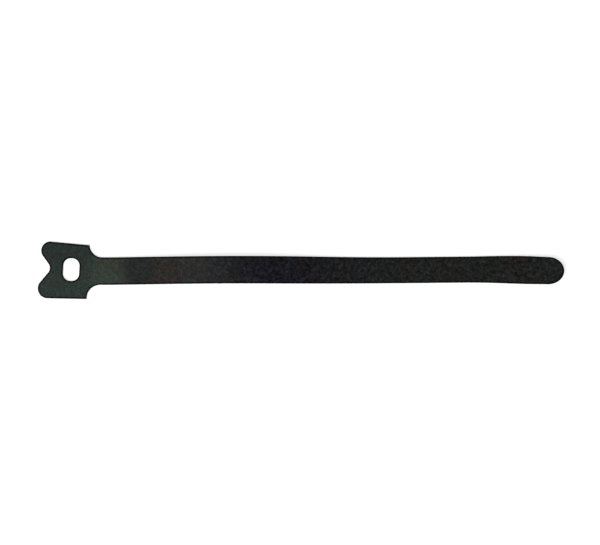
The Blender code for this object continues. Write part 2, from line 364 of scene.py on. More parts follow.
def sideways(s, lay, x):
    """How far the centre line strays across the table."""
    neck = head_length(s) + s.shoulder + lay.neck_bend / 2
    head_side = eased_turn(neck - x, lay.neck_bend, lay.head_turn)
    slant = eased_turn(neck + lay.slant_length - x, lay.slant_length, lay.slant)
    tail_side = eased_turn(x - (s.overall_length - 2 * lay.tail_bend), lay.tail_bend, lay.tail_turn)
    strap = s.overall_length - head_length(s)
    phase = (strap_share(s, x) - lay.wander_peak) * strap / lay.wavelength
    return head_side - slant - tail_side + lay.wander * np.cos(2 * math.pi * phase)


def lifted(s, lay, x, at_hump, at_tip):
    """A value that grows to at_hump on the strap's hump and to at_tip where the tail curls up."""
    along = strap_share(s, x)
    on_hump = np.clip((along - lay.hump_start) / (lay.hump_end - lay.hump_start), 0.0, 1.0)
    on_tail = np.maximum((along - lay.curl_start) / (1.0 - lay.curl_start), 0.0)
    return at_hump * np.sin(math.pi * on_hump) ** 2 + at_tip * on_tail**2


def laid(s, lay, points):
    """Where points of the flat tie come to lie, before they are centred."""
    x, y, z = points.T
    probe = 0.6 * MM
    heading = np.arctan2(sideways(s, lay, x + probe) - sideways(s, lay, x - probe), 2 * probe)
    before = lifted(s, lay, x - probe, lay.hump_height, lay.curl_height)
    after = lifted(s, lay, x + probe, lay.hump_height, lay.curl_height)
    pitch = np.arctan2(after - before, 2 * probe)
    roll = lifted(s, lay, x, lay.hump_roll, lay.curl_roll)
    across = y * np.cos(roll) - z * np.sin(roll)
    up = y * np.sin(roll) + z * np.cos(roll)
    along = -up * np.sin(pitch)
    return np.column_stack((
        x + along * np.cos(heading) - across * np.sin(heading),
        sideways(s, lay, x) + along * np.sin(heading) + across * np.cos(heading),
        lifted(s, lay, x, lay.hump_height, lay.curl_height) + up * np.cos(pitch),
    ))


def on_table(scene, points):
    """Where points of the flat tie lie in the row's frame, whose origin is under the outline's middle."""
    s, layers, lay = scene.tie_sizes, scene.tie_layers, scene.tie_lay
    rim = outline_loop(s)
    levels = (layers.hook_height, layers.hook_height + layers.tape)
    rims = [laid(s, lay, np.column_stack((rim, np.full(len(rim), level)))) for level in levels]
    rims = np.vstack(rims)[:, :2]
    middle = (rims.min(axis=0) + rims.max(axis=0)) / 2
    placed = laid(s, lay, points)
    placed[:, :2] -= middle
    return placed


def new_object(name, data):
    """An object with that data, in the scene."""
    made = bpy.data.objects.new(name, data)
    bpy.context.scene.collection.objects.link(made)
    return made


def new_piece(name, points, faces, materials, slots=None):
    """A piece of the tie that rides with the part."""
    mesh = bpy.data.meshes.new(name)
    mesh.from_pydata(points.tolist(), [], faces)
    for material in materials:
        mesh.materials.append(material)
    if slots is not None:
        mesh.polygons.foreach_set("material_index", np.asarray(slots, np.int32))
    mesh.shade_smooth()
    piece = new_object(name, mesh)
    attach(piece, "root")
    return piece


def note(piece, name, values):
    """Keeps a number for each point of a piece, for its materials to read."""
    attribute = piece.data.attributes.new(name, "FLOAT", "POINT")
    attribute.data.foreach_set("value", np.asarray(values, np.float32))


def lumps(points, size, seed):
    """Soft lumps of about that size over flat points, from -1 to 1."""
    return np.array([noise.noise(Vector((x / size, y / size, seed))) for x, y in points[:, :2]])


def rounded(layers, gap):
    """0 to 1: how the pile rounds down to the tape as the cut comes near."""
    inward = np.clip(gap / layers.pile_rounding, 0.0, 1.0)
    return np.sqrt(1.0 - (1.0 - inward) ** 2)


# Shares of the strap: where its pile begins to stand open past the head, and over what length
OPEN_FROM = 0.03
OPEN_OVER = 0.30


def standing(s, x, flattened):
    """The share of its height that the pile keeps: flattened on the head, and 1 where it stands open."""
    open_here = smooth((strap_share(s, x) - OPEN_FROM) / OPEN_OVER)
    return flattened + (1.0 - flattened) * open_here


class Strand(NamedTuple):
    """A kind of curly strand. Each pair is its least and its most."""

    turn: tuple  # how far it curls round, in radians
    wobble: tuple  # how far it strays from an even curl, in radians
    reach: tuple  # length in mm
    steps: int  # points along it
    thickness: tuple = (1.0, 1.0)  # as a share of the fibres' thickness
    rise: tuple = (0.0, 0.0)  # how high it arches, as a share of the loose pile's height
    flattened: float = 1.0  # share of that height that it keeps on the head
    sunk: float = 0.0  # how far its ends sink into the mat, in mm
    overhang: float = 0.0  # how far it may reach past the cut, in mm


MATTED_CURL = Strand(turn=(1.5, 5.5), wobble=(0.1, 0.7), reach=(1.6, 3.4), steps=16, flattened=0.45)
SHORT_FIBRE = Strand(
    turn=(0.4, 2.8),
    wobble=(0.0, 0.5),
    reach=(0.9, 1.8),
    steps=5,
    thickness=(0.8, 1.2),
    rise=(0.20, 0.55),
    sunk=0.05,
    overhang=0.04,
)
OPEN_LOOP = Strand(
    turn=(2.4, 5.6),
    wobble=(0.1, 0.7),
    reach=(1.7, 3.2),
    steps=8,
    thickness=(0.75, 1.15),
    rise=(0.4, 1.0),
    flattened=0.45,
    sunk=0.06,
    overhang=0.10,
)


# Radians of a wobble's wave along one strand
WOBBLE_WAVE = 7.0


def curls(kind, roots, rng):
    """Flat paths of that kind of strand, each about its root. They curl evenly, but for a wobble."""
    total = len(roots)
    heading = rng.uniform(0.0, 2 * math.pi, total)[:, None]
    turn = (rng.uniform(*kind.turn, total) * rng.choice((-1.0, 1.0), total))[:, None]
    wobble = rng.uniform(*kind.wobble, total)[:, None]
    reach = rng.uniform(*kind.reach, total) * MM
    start = rng.uniform(0.0, 2 * math.pi, total)[:, None]
    shares = np.linspace(0.0, 1.0, kind.steps)
    bearing = heading + turn * shares + wobble * np.sin(start + WOBBLE_WAVE * shares)
    stride = (reach / (kind.steps - 1))[:, None]
    x = np.cumsum(np.cos(bearing) * stride, axis=1)
    y = np.cumsum(np.sin(bearing) * stride, axis=1)
    x += roots[:, :1] - x.mean(axis=1, keepdims=True)
    y += roots[:, 1:2] - y.mean(axis=1, keepdims=True)
    return np.stack((x, y), axis=2)


def arched(paths, low, high):
    """The flat paths raised into arches, from low at both ends to high in the middle."""
    shares = np.linspace(0.0, 1.0, paths.shape[1])
    z = low[:, None] + (high - low)[:, None] * np.sin(math.pi * shares) ** 0.8
    return np.concatenate((paths, z[:, :, None]), axis=2)


def scattered(loops, wanted, margin, rng):
    """That many random places on the flat tape, at least margin inside its cut."""
    low, high = loops[0].min(axis=0), loops[0].max(axis=0)
    found = np.empty((0, 2))
    while len(found) < wanted:
        tries = rng.uniform(low, high, (2 * wanted, 2))
        found = np.vstack((found, tries[clearance(tries, loops) > margin]))
    return found[:wanted]


# The mat's height field: its cells, how far it reaches past the tape, and how high its crests lie
FELT_CELL = 0.09 * MM
FELT_MARGIN = 1.0 * MM
FELT_CRESTS = (0.45, 1.0)


class Felt:
    """A height field of matted curls over the flat tape, from 0 in its hollows to 1 on its crests."""

    def __init__(self, loops, fibres, rng):
        self.low = loops[0].min(axis=0) - FELT_MARGIN
        size = loops[0].max(axis=0) + FELT_MARGIN - self.low
        self.field = np.zeros(np.ceil(size / FELT_CELL).astype(int) + 1)
        total = fibres.matted_count
        paths = curls(MATTED_CURL, scattered(loops, total, 0.0, rng), rng)
        crown = np.repeat(rng.uniform(*FELT_CRESTS, total), MATTED_CURL.steps)
        self.press(paths.reshape(-1, 2), crown, fibres.curl_width / 2)

    def press(self, places, crown, radius):
        """Raises a small round dome at each place, and keeps the highest."""
        cells = (places - self.low) / FELT_CELL
        nearest = np.round(cells).astype(int)
        reach = math.ceil(radius / FELT_CELL)
        for i in range(-reach, reach + 1):
            for j in range(-reach, reach + 1):
                at = nearest + (i, j)
                away = np.linalg.norm(at - cells, axis=1) * FELT_CELL / radius
                height = crown * np.sqrt(np.maximum(1.0 - away**2, 0.0))
                inside = ((at >= 0) & (at < self.field.shape)).all(axis=1)
                np.maximum.at(self.field, tuple(at[inside].T), height[inside])

    def at(self, points):
        """The field's height at flat points, blended between its cells."""
        cells = (points - self.low) / FELT_CELL
        cells = np.clip(cells, 0.0, np.array(self.field.shape) - 1.001)
        i, j = np.floor(cells).astype(int).T
        u, v = (cells - np.floor(cells)).T
        near = self.field[i, j] * (1 - u) + self.field[i + 1, j] * u
        far = self.field[i, j + 1] * (1 - u) + self.field[i + 1, j + 1] * u
        return near * (1 - v) + far * v


# Spacing of the tape's points along its cut, over its pile and over its film
EDGE_STEP = 0.30 * MM
TOP_STEP = 0.27 * MM
FILM_STEP = 1.6 * MM

# As shares of that spacing: how far apart its rows lie, how uneven they are, and how near the cut they come
ROW_STEP = 0.87
UNEVEN_STEP = 0.12
RIM_STEP = 0.6

# Depths of the rows of points that follow the cut, where the pile rounds down
SHOULDER_ROWS = (0.08 * MM, 0.20 * MM, 0.36 * MM)

# A row's point is left out where a bend of the cut brings it nearer than this share of its depth
DEPTH_KEPT = 0.97

# For the triangulation: it fills the inside of the rims only, and joins points nearer than this, in mm
INSIDE_ONLY = 1
SAME_POINT = 1e-7

# Width of the mat's soft clumps, and of the cut edge's small beads
CLUMP_WIDTH = 1.3 * MM
BEAD_WIDTH = 0.30 * MM

# Rows of points up the cut edge: (share of the web's thickness, how far out, how rough, both in mm).
# The film's last row lies in the groove under the fabric
FILM_ROWS = ((0.5, -0.010, 0.006), (0.94, -0.012, 0.008), (1.12, -0.050, 0.012))
FABRIC_ROWS = ((0.22, -0.006, 0.030), (0.45, 0.004, 0.040), (0.72, -0.004, 0.040))


def inner_points(loops, rims, rows, step, rng):
    """Points inside the rims: rows that follow the cut, then an even scatter."""
    inner = []
    for rim in rims:
        for depth in rows:
            row = rim - outward(rim) * depth
            inner.append(row[clearance(row, loops) > DEPTH_KEPT * depth])
    low, high = loops[0].min(axis=0), loops[0].max(axis=0)
    x, y = np.meshgrid(np.arange(low[0], high[0], step), np.arange(low[1], high[1], step * ROW_STEP))
    x = x + (np.arange(len(x)) % 2)[:, None] * step / 2
    uneven = rng.uniform(-UNEVEN_STEP, UNEVEN_STEP, (x.size, 2)) * step
    grid = np.column_stack((x.ravel(), y.ravel())) + uneven
    deepest = rows[-1] if rows else 0.0
    inner.append(grid[clearance(grid, loops) > deepest + RIM_STEP * step])
    return np.vstack(inner)


def flat_triangles(loops, rims, inner):
    """Points and triangles of the flat tape between its rims. The rims' points come first."""
    edges, first = [], 0
    for rim in rims:
        edges += [(first + i, first + (i + 1) % len(rim)) for i in range(len(rim))]
        first += len(rim)
    flat = np.vstack(rims + [inner])
    scaled = [Vector(point) for point in (flat / MM).tolist()]
    points, _, faces, _, _, _ = geometry.delaunay_2d_cdt(scaled, edges, [], INSIDE_ONLY, SAME_POINT)
    if len(points) != len(flat):
        raise RuntimeError("the flat tape's points don't fit together")
    faces = np.array(faces)
    return flat, faces[clearance(flat[faces].mean(axis=1), loops) > 0.0]


def cut_wall(layers, rims):
    """Rows of points up the cut edge: the film below, the groove where two webs meet, and the fabric."""
    edge = np.vstack(rims)
    out = np.vstack([outward(rim) for rim in rims])
    film, fabric = layers.film, 1.0 - layers.film
    rows = [(level * film, stand, rough) for level, stand, rough in FILM_ROWS]
    rows += [(film + level * fabric, stand, rough) for level, stand, rough in FABRIC_ROWS]
    wall = []
    for number, (level, stand, rough) in enumerate(rows):
        bead = stand * MM + lumps(edge, BEAD_WIDTH, seed=20.0 + 9.0 * number) * rough * MM
        height = layers.hook_height + layers.tape * level
        wall.append(np.column_stack((edge + out * bead[:, None], np.full(len(edge), height))))
    return wall, [level for level, _, _ in rows]


def wall_faces(rims, rows):
    """Faces between rows of points that each follow the rims."""
    after, first = [], 0
    for rim in rims:
        after.append(first + (np.arange(len(rim)) + 1) % len(rim))
        first += len(rim)
    after = np.concatenate(after)
    faces = [np.column_stack((low, low[after], high[after], high)) for low, high in zip(rows, rows[1:])]
    return np.vstack(faces)


class CABLETIE_OT_tape(bpy.types.Operator):
    """Cuts the tape: a mat of pressed curls on top, a layered cut edge and the hooks' smooth film below"""

    bl_idname = "cable_tie.tape"
    bl_label = "Tape"

    def execute(self, context):
        scene = context.scene
        s, layers = scene.tie_sizes, scene.tie_layers
        rng = np.random.default_rng(seed=11)
        loops = cut_loops(s)
        rims = [divided(loop, EDGE_STEP) for loop in loops]
        rim_count = sum(len(rim) for rim in rims)

        under_pile = inner_points(loops, rims, SHOULDER_ROWS, TOP_STEP, rng)
        flat, upper_faces = flat_triangles(loops, rims, under_pile)
        gap = np.maximum(clearance(flat, loops), 0.0)
        gap[:rim_count] = 0.0
        felt = Felt(loops, scene.tie_fibres, rng).at(flat)
        swell = layers.clump * lumps(flat, CLUMP_WIDTH, seed=3.0)
        pressed = layers.curl * (felt - 0.5) * standing(s, flat[:, 0], MATTED_CURL.flattened)
        tape_top = layers.hook_height + layers.tape
        top = tape_top + (layers.pile_mat + swell + pressed) * rounded(layers, gap)
        upper = np.column_stack((flat, top))

        film_flat, lower_faces = flat_triangles(loops, rims, inner_points(loops, rims, (), FILM_STEP, rng))
        lower = np.column_stack((film_flat, np.full(len(film_flat), layers.hook_height)))

        wall, levels = cut_wall(layers, rims)
        points = np.vstack([upper, lower] + wall)
        first = len(upper) + len(lower)
        rows = [np.arange(rim_count) + len(upper)]
        rows += [np.arange(rim_count) + first + number * rim_count for number in range(len(wall))]
        rows.append(np.arange(rim_count))
        sides = wall_faces(rims, rows)

        faces = upper_faces.tolist() + (lower_faces[:, ::-1] + len(upper)).tolist() + sides.tolist()
        slots = [0] * len(upper_faces) + [1] * len(lower_faces) + [2] * len(sides)
        materials = [mat_material(scene), film_material(scene), cut_material(scene)]
        tape = new_piece("tape", on_table(scene, points), faces, materials, slots)
        tape.data.set_sharp_from_angle(angle=math.radians(60.0))
        rest = len(points) - len(flat)
        note(tape, "cut_gap", np.concatenate((gap, np.zeros(rest))))
        note(tape, "relief", np.concatenate((felt, np.zeros(rest))))
        layer = [np.ones(len(upper)), np.zeros(len(lower)), np.repeat(levels, rim_count)]
        note(tape, "layer", np.concatenate(layer))
        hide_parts(CAD_NODE)
        return {"FINISHED"}


# A direction that no strand runs along
NEARLY_UP = (0.013, 0.007, 1.0)


def strands(paths, thickness, ends):
    """Three-sided strands along the paths, closed at both ends. They narrow to that share at the ends."""
    fibres, steps, _ = paths.shape
    tangent = np.gradient(paths, axis=1)
    tangent /= np.maximum(np.linalg.norm(tangent, axis=2, keepdims=True), 1e-12)
    side = np.cross(tangent, NEARLY_UP)
    side /= np.maximum(np.linalg.norm(side, axis=2, keepdims=True), 1e-12)
    up = np.cross(side, tangent)
    taper = ends + (1.0 - ends) * np.sin(math.pi * np.linspace(0.0, 1.0, steps)) ** 0.5
    radius = thickness[:, None, None] / 2 * taper[None, :, None]
    rings = []
    for corner in range(3):
        around = 2 * math.pi * corner / 3 + math.pi / 2
        rings.append(paths + radius * (math.cos(around) * side + math.sin(around) * up))
    points = np.stack(rings, axis=2).reshape(-1, 3)

    start = (np.arange(fibres) * steps * 3)[:, None]
    quads = []
    for step in range(steps - 1):
        for corner in range(3):
            here, there = step * 3 + corner, step * 3 + (corner + 1) % 3
            quads.append(start + np.array([here, there, there + 3, here + 3]))
    last = (steps - 1) * 3
    caps = [start + np.array([2, 1, 0]), start + np.array([last, last + 1, last + 2])]
    return points, np.vstack(quads).tolist() + np.vstack(caps).tolist()


def map_strands(piece, paths):
    """Gives each strand a cell of its own on the map for baking, beside its neighbours' cells."""
    fibres, steps, _ = paths.shape
    per_row = math.ceil(math.sqrt(fibres))
    middle = paths[:, steps // 2]
    rows = np.empty(fibres, int)
    rows[np.argsort(middle[:, 0])] = np.arange(fibres) // per_row
    order = np.lexsort((middle[:, 1], rows))
    columns = np.empty(fibres, int)
    columns[order] = np.arange(fibres) % per_row
    cells = np.column_stack((columns, rows))[:, None, :]

    corners = []
    for step in range(steps - 1):
        for side in range(3):
            here, there = step / (steps - 1), (step + 1) / (steps - 1)
            low, high = side / 3, (side + 1) / 3
            corners.append([(here, low), (here, high), (there, high), (there, low)])
    caps = [[(0.0, 0.0), (0.0, 1.0), (0.15, 0.5)], [(1.0, 1.0), (1.0, 0.0), (0.85, 0.5)]]
    spots = []
    for face in corners + caps:
        within = CELL_MARGIN + (1 - 2 * CELL_MARGIN) * np.array(face)
        spots.append(((cells + within) / per_row).ravel())
    layer = piece.data.uv_layers.new(name=BAKE_MAP)
    layer.uv.foreach_set("vector", np.concatenate(spots).astype(np.float32))


def strand_piece(scene, name, paths, thickness, overhang, ends=0.7):
    """A piece of the strands that reach no further past the cut than overhang."""
    flat = paths[:, :, :2].reshape(-1, 2)
    gap = clearance(flat, cut_loops(scene.tie_sizes)).reshape(paths.shape[:2])
    kept = gap.min(axis=1) > -overhang
    flat_points, faces = strands(paths[kept], thickness[kept], ends)
    piece = new_piece(name, on_table(scene, flat_points), faces, [fibre_material(scene)])
    note(piece, "cut_gap", np.repeat(np.maximum(gap[kept], 0.0), 3))
    map_strands(piece, paths[kept])


def pile_piece(scene, name, kind, number, seed):
    """A piece of strands that arch out of the mat."""
    s, layers, fibres = scene.tie_sizes, scene.tie_layers, scene.tie_fibres
    loops = cut_loops(s)
    rng = np.random.default_rng(seed)
    roots = scattered(loops, number, fibres.rim, rng)
    profile = rounded(layers, clearance(roots, loops))
    mat_top = layers.hook_height + layers.tape + layers.pile_mat * profile
    loose = (layers.pile - layers.pile_mat) * standing(s, roots[:, 0], kind.flattened) * profile
    paths = curls(kind, roots, rng)
    paths = arched(paths, mat_top - kind.sunk * MM, mat_top + loose * rng.uniform(*kind.rise, number))
    thickness = fibres.thickness * rng.uniform(*kind.thickness, number)
    strand_piece(scene, name, paths, thickness, kind.overhang * MM)


class CABLETIE_OT_pile(bpy.types.Operator):
    """Brushes up the pile: short fibres over the mat, and open loops above them"""

    bl_idname = "cable_tie.pile"
    bl_label = "Loop pile"

    def execute(self, context):
        fibres = context.scene.tie_fibres
        half = fibres.loop_count // 2
        pile_piece(context.scene, "pile_short_fibres", SHORT_FIBRE, fibres.short_count, seed=23)
        pile_piece(context.scene, "pile_loops_low", OPEN_LOOP, half, seed=37)
        pile_piece(context.scene, "pile_loops_high", OPEN_LOOP, half, seed=61)
        return {"FINISHED"}


# Fibres that the cut left standing: the spacing of the places where they may grow, how deep they root, and
# their least and greatest lengths, in mm. Their heading and curl vary by radians, their slope by a share
STRAY_SPACING = 0.05
STRAY_ROOT = 0.06
STRAY_LENGTHS = (0.16, 0.38)
STRAY_HEADING = 0.7
STRAY_CURL = 1.1
STRAY_SLOPE = (0.1, 0.4)
STRAY_THICKNESS = (0.4, 0.65)


class CABLETIE_OT_edge_fibres(bpy.types.Operator):
    """Leaves the short loose fibres that stand out from the cut edges"""

    bl_idname = "cable_tie.edge_fibres"
    bl_label = "Edge fibres"

    def execute(self, context):
        scene = context.scene
        layers, fibres = scene.tie_layers, scene.tie_fibres
        rng = np.random.default_rng(seed=41)
        rims = [divided(loop, STRAY_SPACING * MM) for loop in cut_loops(scene.tie_sizes)]
        places = np.vstack(rims)
        out = np.vstack([outward(rim) for rim in rims])
        total = fibres.stray_count
        chosen = rng.choice(len(places), total, replace=False)
        heading = np.arctan2(out[chosen, 1], out[chosen, 0]) + rng.normal(0.0, STRAY_HEADING, total)
        shortest, longest = STRAY_LENGTHS
        reach = (shortest + (longest - shortest) * rng.random(total) ** 2) * MM
        root = places[chosen] - STRAY_ROOT * MM * out[chosen]
        fabric = layers.film + (1.0 - layers.film) * rng.random(total)
        height = layers.hook_height + layers.tape * fabric + layers.pile_mat * 0.3 * rng.random(total)
        shares = np.linspace(0.0, 1.0, 4)
        bearing = heading[:, None] + rng.normal(0.0, STRAY_CURL, total)[:, None] * shares
        x = root[:, :1] + reach[:, None] * shares * np.cos(bearing)
        y = root[:, 1:2] + reach[:, None] * shares * np.sin(bearing)
        z = height[:, None] + reach[:, None] * rng.normal(*STRAY_SLOPE, total)[:, None] * shares
        paths = np.stack((x, y, z), axis=2)
        thickness = fibres.thickness * rng.uniform(*STRAY_THICKNESS, total)
        strand_piece(scene, "edge_fibres", paths, thickness, overhang=1.0 * MM, ends=0.35)
        return {"FINISHED"}


def spans_along(y, outlines):
    """Where the line at y runs inside the outlines: pairs of x."""
    crossings = []
    for outline in outlines:
        before = np.roll(outline, 1, axis=0)
        for (x, end_y), (before_x, before_y) in zip(outline, before):
            if (before_y > y) != (end_y > y):
                crossings.append(x + (before_x - x) * (y - end_y) / (before_y - end_y))
    crossings.sort()
    return list(zip(crossings[::2], crossings[1::2]))


def hook_rows(s, hooks):
    """(y, start, end) of each row of hooks. A row keeps clear of the cut, and stops at the slot."""
    outlines = [loop - outward(loop) * hooks.clearance for loop in cut_loops(s)]
    reach = math.floor(np.abs(outlines[0][:, 1]).max() / hooks.row_pitch)
    rows = []
    for number in range(-reach, reach + 1):
        y = number * hooks.row_pitch
        for low in spans_along(y - hooks.head / 2, outlines):
            for high in spans_along(y + hooks.head / 2, outlines):
                start, end = max(low[0], high[0]), min(low[1], high[1])
                if end - start > hooks.shortest:
                    rows.append((y, start, end))
    return rows


# How far a hook's root sinks into the film, and how far its waist lies from its head
ROOT_SUNK = 0.05 * MM
WAIST_ABOVE = 0.14 * MM

# How much hooks differ: their length and height as shares, and their lean as a slope
HOOK_LENGTHS = (0.9, 1.1)
HOOK_HEIGHTS = (0.93, 1.0)
HOOK_LEAN = 0.12

# The lowest share of a hook's head, and how much shorter it is there along its row
HEAD_TIP = 0.3
HEAD_ROUNDING = 0.25


def hook_profile(layers, hooks):
    """(across, height) round one hook: down its right side from the root, and up its left side."""
    neck, stem, head = hooks.head_thickness, hooks.stem / 2, hooks.head / 2
    root = layers.hook_height + ROOT_SUNK
    right = [
        (1.25 * stem, root),
        (0.85 * stem, neck + WAIST_ABOVE),
        (stem, neck),
        (head, 0.72 * neck),
        (head, 0.40 * neck),
        (0.62 * head, 0.0),
    ]
    return np.array(right + [(-across, height) for across, height in right[::-1]])


class CABLETIE_OT_hooks(bpy.types.Operator):
    """Moulds rows of mushroom-shaped hooks along the underside, and slits each row into single hooks"""

    bl_idname = "cable_tie.hooks"
    bl_label = "Hook rows"

    def execute(self, context):
        scene = context.scene
        s, layers, hooks = scene.tie_sizes, scene.tie_layers, scene.tie_hooks
        rng = np.random.default_rng(seed=53)
        places = []
        for y, start, end in hook_rows(s, hooks):
            number = max(1, math.floor((end - start) / hooks.slit_pitch))
            middle = (start + end) / 2 + (np.arange(number) - (number - 1) / 2) * hooks.slit_pitch
            places.append(np.column_stack((middle, np.full(number, y))))
        places = np.vstack(places)
        total = len(places)

        profile = hook_profile(layers, hooks)
        corners = len(profile)
        long = (hooks.slit_pitch - hooks.slit) / 2 * rng.uniform(*HOOK_LENGTHS, total)
        size = rng.uniform(*HOOK_HEIGHTS, total)[:, None]
        lean = rng.normal(0.0, HOOK_LEAN, total)[:, None]
        height = layers.hook_height - (layers.hook_height - profile[:, 1]) * size
        across = places[:, 1:2] + profile[:, 0] + lean * (layers.hook_height - height)
        narrowed = 1.0 - HEAD_ROUNDING * (height < HEAD_TIP * hooks.head_thickness)
        ends = []
        for side in (-1.0, 1.0):
            x = places[:, :1] + side * long[:, None] * narrowed
            ends.append(np.stack((x, across, np.maximum(height, 0.0)), axis=2))
        points = np.stack(ends, axis=1).reshape(-1, 3)

        start = (np.arange(total) * 2 * corners)[:, None]
        quads = []
        for corner in range(corners - 1):
            quads.append(start + np.array([corner + 1, corner, corner + corners, corner + corners + 1]))
        quads = np.vstack(quads).tolist()
        caps = np.vstack((start + np.arange(corners), start + corners + np.arange(corners)[::-1])).tolist()
        root = (start + np.array([0, corners - 1, 2 * corners - 1, corners])).tolist()
        faces = quads + caps + root
        piece = new_piece("hooks", on_table(scene, points), faces, [hook_material(scene)])
        piece.data.set_sharp_from_angle(angle=math.radians(40.0))
        return {"FINISHED"}


class NodeSheet:
    """A node tree being drawn. A value for a socket is set there, and another node's socket is linked."""

    def __init__(self, tree):
        self.tree = tree
        self.column = 0

    def put(self, target, value):
        """Sets a socket, or links it where the value is another socket."""
        if isinstance(value, bpy.types.NodeSocket):
            self.tree.links.new(value, target)
        else:
            target.default_value = value

    def add(self, kind, label="", settings=(), **sockets):
        """A new node with those settings. Each socket is named as Blender names it, with _ for a space."""
        node = self.tree.nodes.new(kind)
        node.label = label
        node.location = (self.column * 190, 0)
        self.column += 1
        for name, value in dict(settings).items():
            setattr(node, name, value)
        for name, value in sockets.items():
            self.put(node.inputs[name.replace("_", " ")], value)
        return node

    def maths(self, operation, first, second=0.0, label=""):
        node = self.add("ShaderNodeMath", label, {"operation": operation})
        self.put(node.inputs[0], first)
        self.put(node.inputs[1], second)
        return node.outputs[0]

    def blend(self, factor, first, second, mode="MIX"):
        node = self.add("ShaderNodeMix", "", {"data_type": "RGBA", "blend_type": mode})
        self.put(node.inputs[0], factor)
        self.put(node.inputs[6], first)
        self.put(node.inputs[7], second)
        return node.outputs[2]

    def ramp(self, value, low, high, to_low=0.0, to_high=1.0, kind="SMOOTHSTEP", label=""):
        """What the value comes to, as it goes from low to high."""
        node = self.add("ShaderNodeMapRange", label, {"interpolation_type": kind}, Value=value)
        for name, number in zip(("From Min", "From Max", "To Min", "To Max"), (low, high, to_low, to_high)):
            self.put(node.inputs[name], number)
        return node.outputs[0]

    def bump(self, label, height, strength, distance):
        node = self.add("ShaderNodeBump", label, Strength=strength, Distance=distance, Height=height)
        return node.outputs[0]

    def shaded(self, tone, shade):
        """A colour times a shade, which is a plain number."""
        grey = self.add("ShaderNodeCombineColor", Red=shade, Green=shade, Blue=shade).outputs[0]
        return self.blend(1.0, tone, grey, "MULTIPLY")

    def noise(self, place, scale, detail=2.0, label=""):
        return self.add("ShaderNodeTexNoise", label, Vector=place, Scale=scale, Detail=detail).outputs[0]

    def place(self):
        """Where a point lies, in metres."""
        return self.add("ShaderNodeTexCoord").outputs["Object"]

    def noted(self, name, label):
        """The number that note() kept for each point under that name."""
        return self.add("ShaderNodeAttribute", label, {"attribute_name": name}).outputs["Fac"]


def emptied(owner):
    """A sheet on the emptied node tree of a material or a world."""
    owner.use_nodes = True
    owner.node_tree.nodes.clear()
    return NodeSheet(owner.node_tree)


def node_group(name, inputs, outputs):
    """A new shader node group with those sockets: (tree, its sheet, its inputs, its outputs)."""
    tree = bpy.data.node_groups.new(name, "ShaderNodeTree")
    for label, kind, default in inputs:
        socket = tree.interface.new_socket(name=label, in_out="INPUT", socket_type=kind)
        socket.default_value = default
    for label, kind in outputs:
        tree.interface.new_socket(name=label, in_out="OUTPUT", socket_type=kind)
    sheet = NodeSheet(tree)
    given = sheet.add("NodeGroupInput").outputs
    made = sheet.add("NodeGroupOutput").inputs
    return tree, sheet, given, made


# The tones from head to tail, partly painted light and shade,
# and where each gives way to the next, in metres along the table
TONE_NAMES = ("Head", "Neck", "Crease", "Brown", "Start", "Middle", "Tail")
TONE_BORDERS = (
    (-0.102, -0.095),
    (-0.090, -0.078),
    (-0.074, -0.066),
    (-0.062, -0.055),
    (-0.054, -0.014),
    (-0.016, 0.044),
)


def strap_tone_group():
    """The tone from head to tail, partly painted light and shade, with soft uneven borders and faded
    patches.
    """
    inputs = [(label, "NodeSocketColor", (0.02, 0.02, 0.02, 1.0)) for label in TONE_NAMES]
    tree, sheet, given, made = node_group("Strap tone", inputs, [("Colour", "NodeSocketColor")])
    place = sheet.place()
    uneven = sheet.noise(place, 90.0, 3.0, "uneven borders")
    shift = sheet.ramp(uneven, 0.3, 0.7, -0.003, 0.003, "LINEAR")
    axes = sheet.add("ShaderNodeSeparateXYZ", Vector=place).outputs
    along = sheet.maths("ADD", axes["X"], shift, "metres along")
    tone = given[TONE_NAMES[0]]
    for name, (start, end) in zip(TONE_NAMES[1:], TONE_BORDERS):
        tone = sheet.blend(sheet.ramp(along, start, end, label=name.lower()), tone, given[name])
    warm = sheet.ramp(sheet.noise(place, 170.0, 2.0, "faded patches"), 0.35, 0.65, label="warm or cool")
    patches = sheet.blend(warm, (0.92, 1.03, 1.04, 1.0), (1.10, 0.98, 0.93, 1.0))
    tone = sheet.blend(1.0, tone, patches, "MULTIPLY")
    # Painted light: the head's near side is painted paler, its far side a little darker
    painted_light = sheet.ramp(axes["Y"], -0.009, 0.008, 1.22, 0.96, label="near side worn paler")
    on_head = sheet.ramp(axes["X"], -0.100, -0.080, 1.0, 0.0, label="on the head")
    painted_light = sheet.maths("ADD", sheet.maths("MULTIPLY", sheet.maths("SUBTRACT", painted_light, 1.0), on_head), 1.0)
    tree.links.new(sheet.shaded(tone, painted_light), made["Colour"])
    return tree


def mottle_group():
    """Fine clumps in the pile: a value round 1 that scales a colour, and a height for bumps."""
    inputs = [("Clump Scale", "NodeSocketFloat", 900.0), ("Contrast", "NodeSocketFloat", 0.5)]
    outputs = [("Shade", "NodeSocketFloat"), ("Height", "NodeSocketFloat")]
    tree, sheet, given, made = node_group("Pile mottle", inputs, outputs)
    place = sheet.place()
    clumps = sheet.noise(place, given["Clump Scale"], 2.0, "clumps")
    finer = sheet.maths("MULTIPLY", given["Clump Scale"], 4.5)
    cells = sheet.add("ShaderNodeTexVoronoi", "crimped strands", Vector=place, Scale=finer)
    crimp = cells.outputs["Distance"]
    mixed = sheet.maths("ADD", sheet.maths("MULTIPLY", clumps, 0.75), sheet.maths("MULTIPLY", crimp, 0.3))
    spread = sheet.maths("MULTIPLY", sheet.maths("SUBTRACT", mixed, 0.5), given["Contrast"])
    shade = sheet.maths("ADD", sheet.maths("MULTIPLY", spread, 4.0), 1.0)
    tree.links.new(sheet.maths("MAXIMUM", shade, 0.08), made["Shade"])
    tree.links.new(mixed, made["Height"])
    return tree


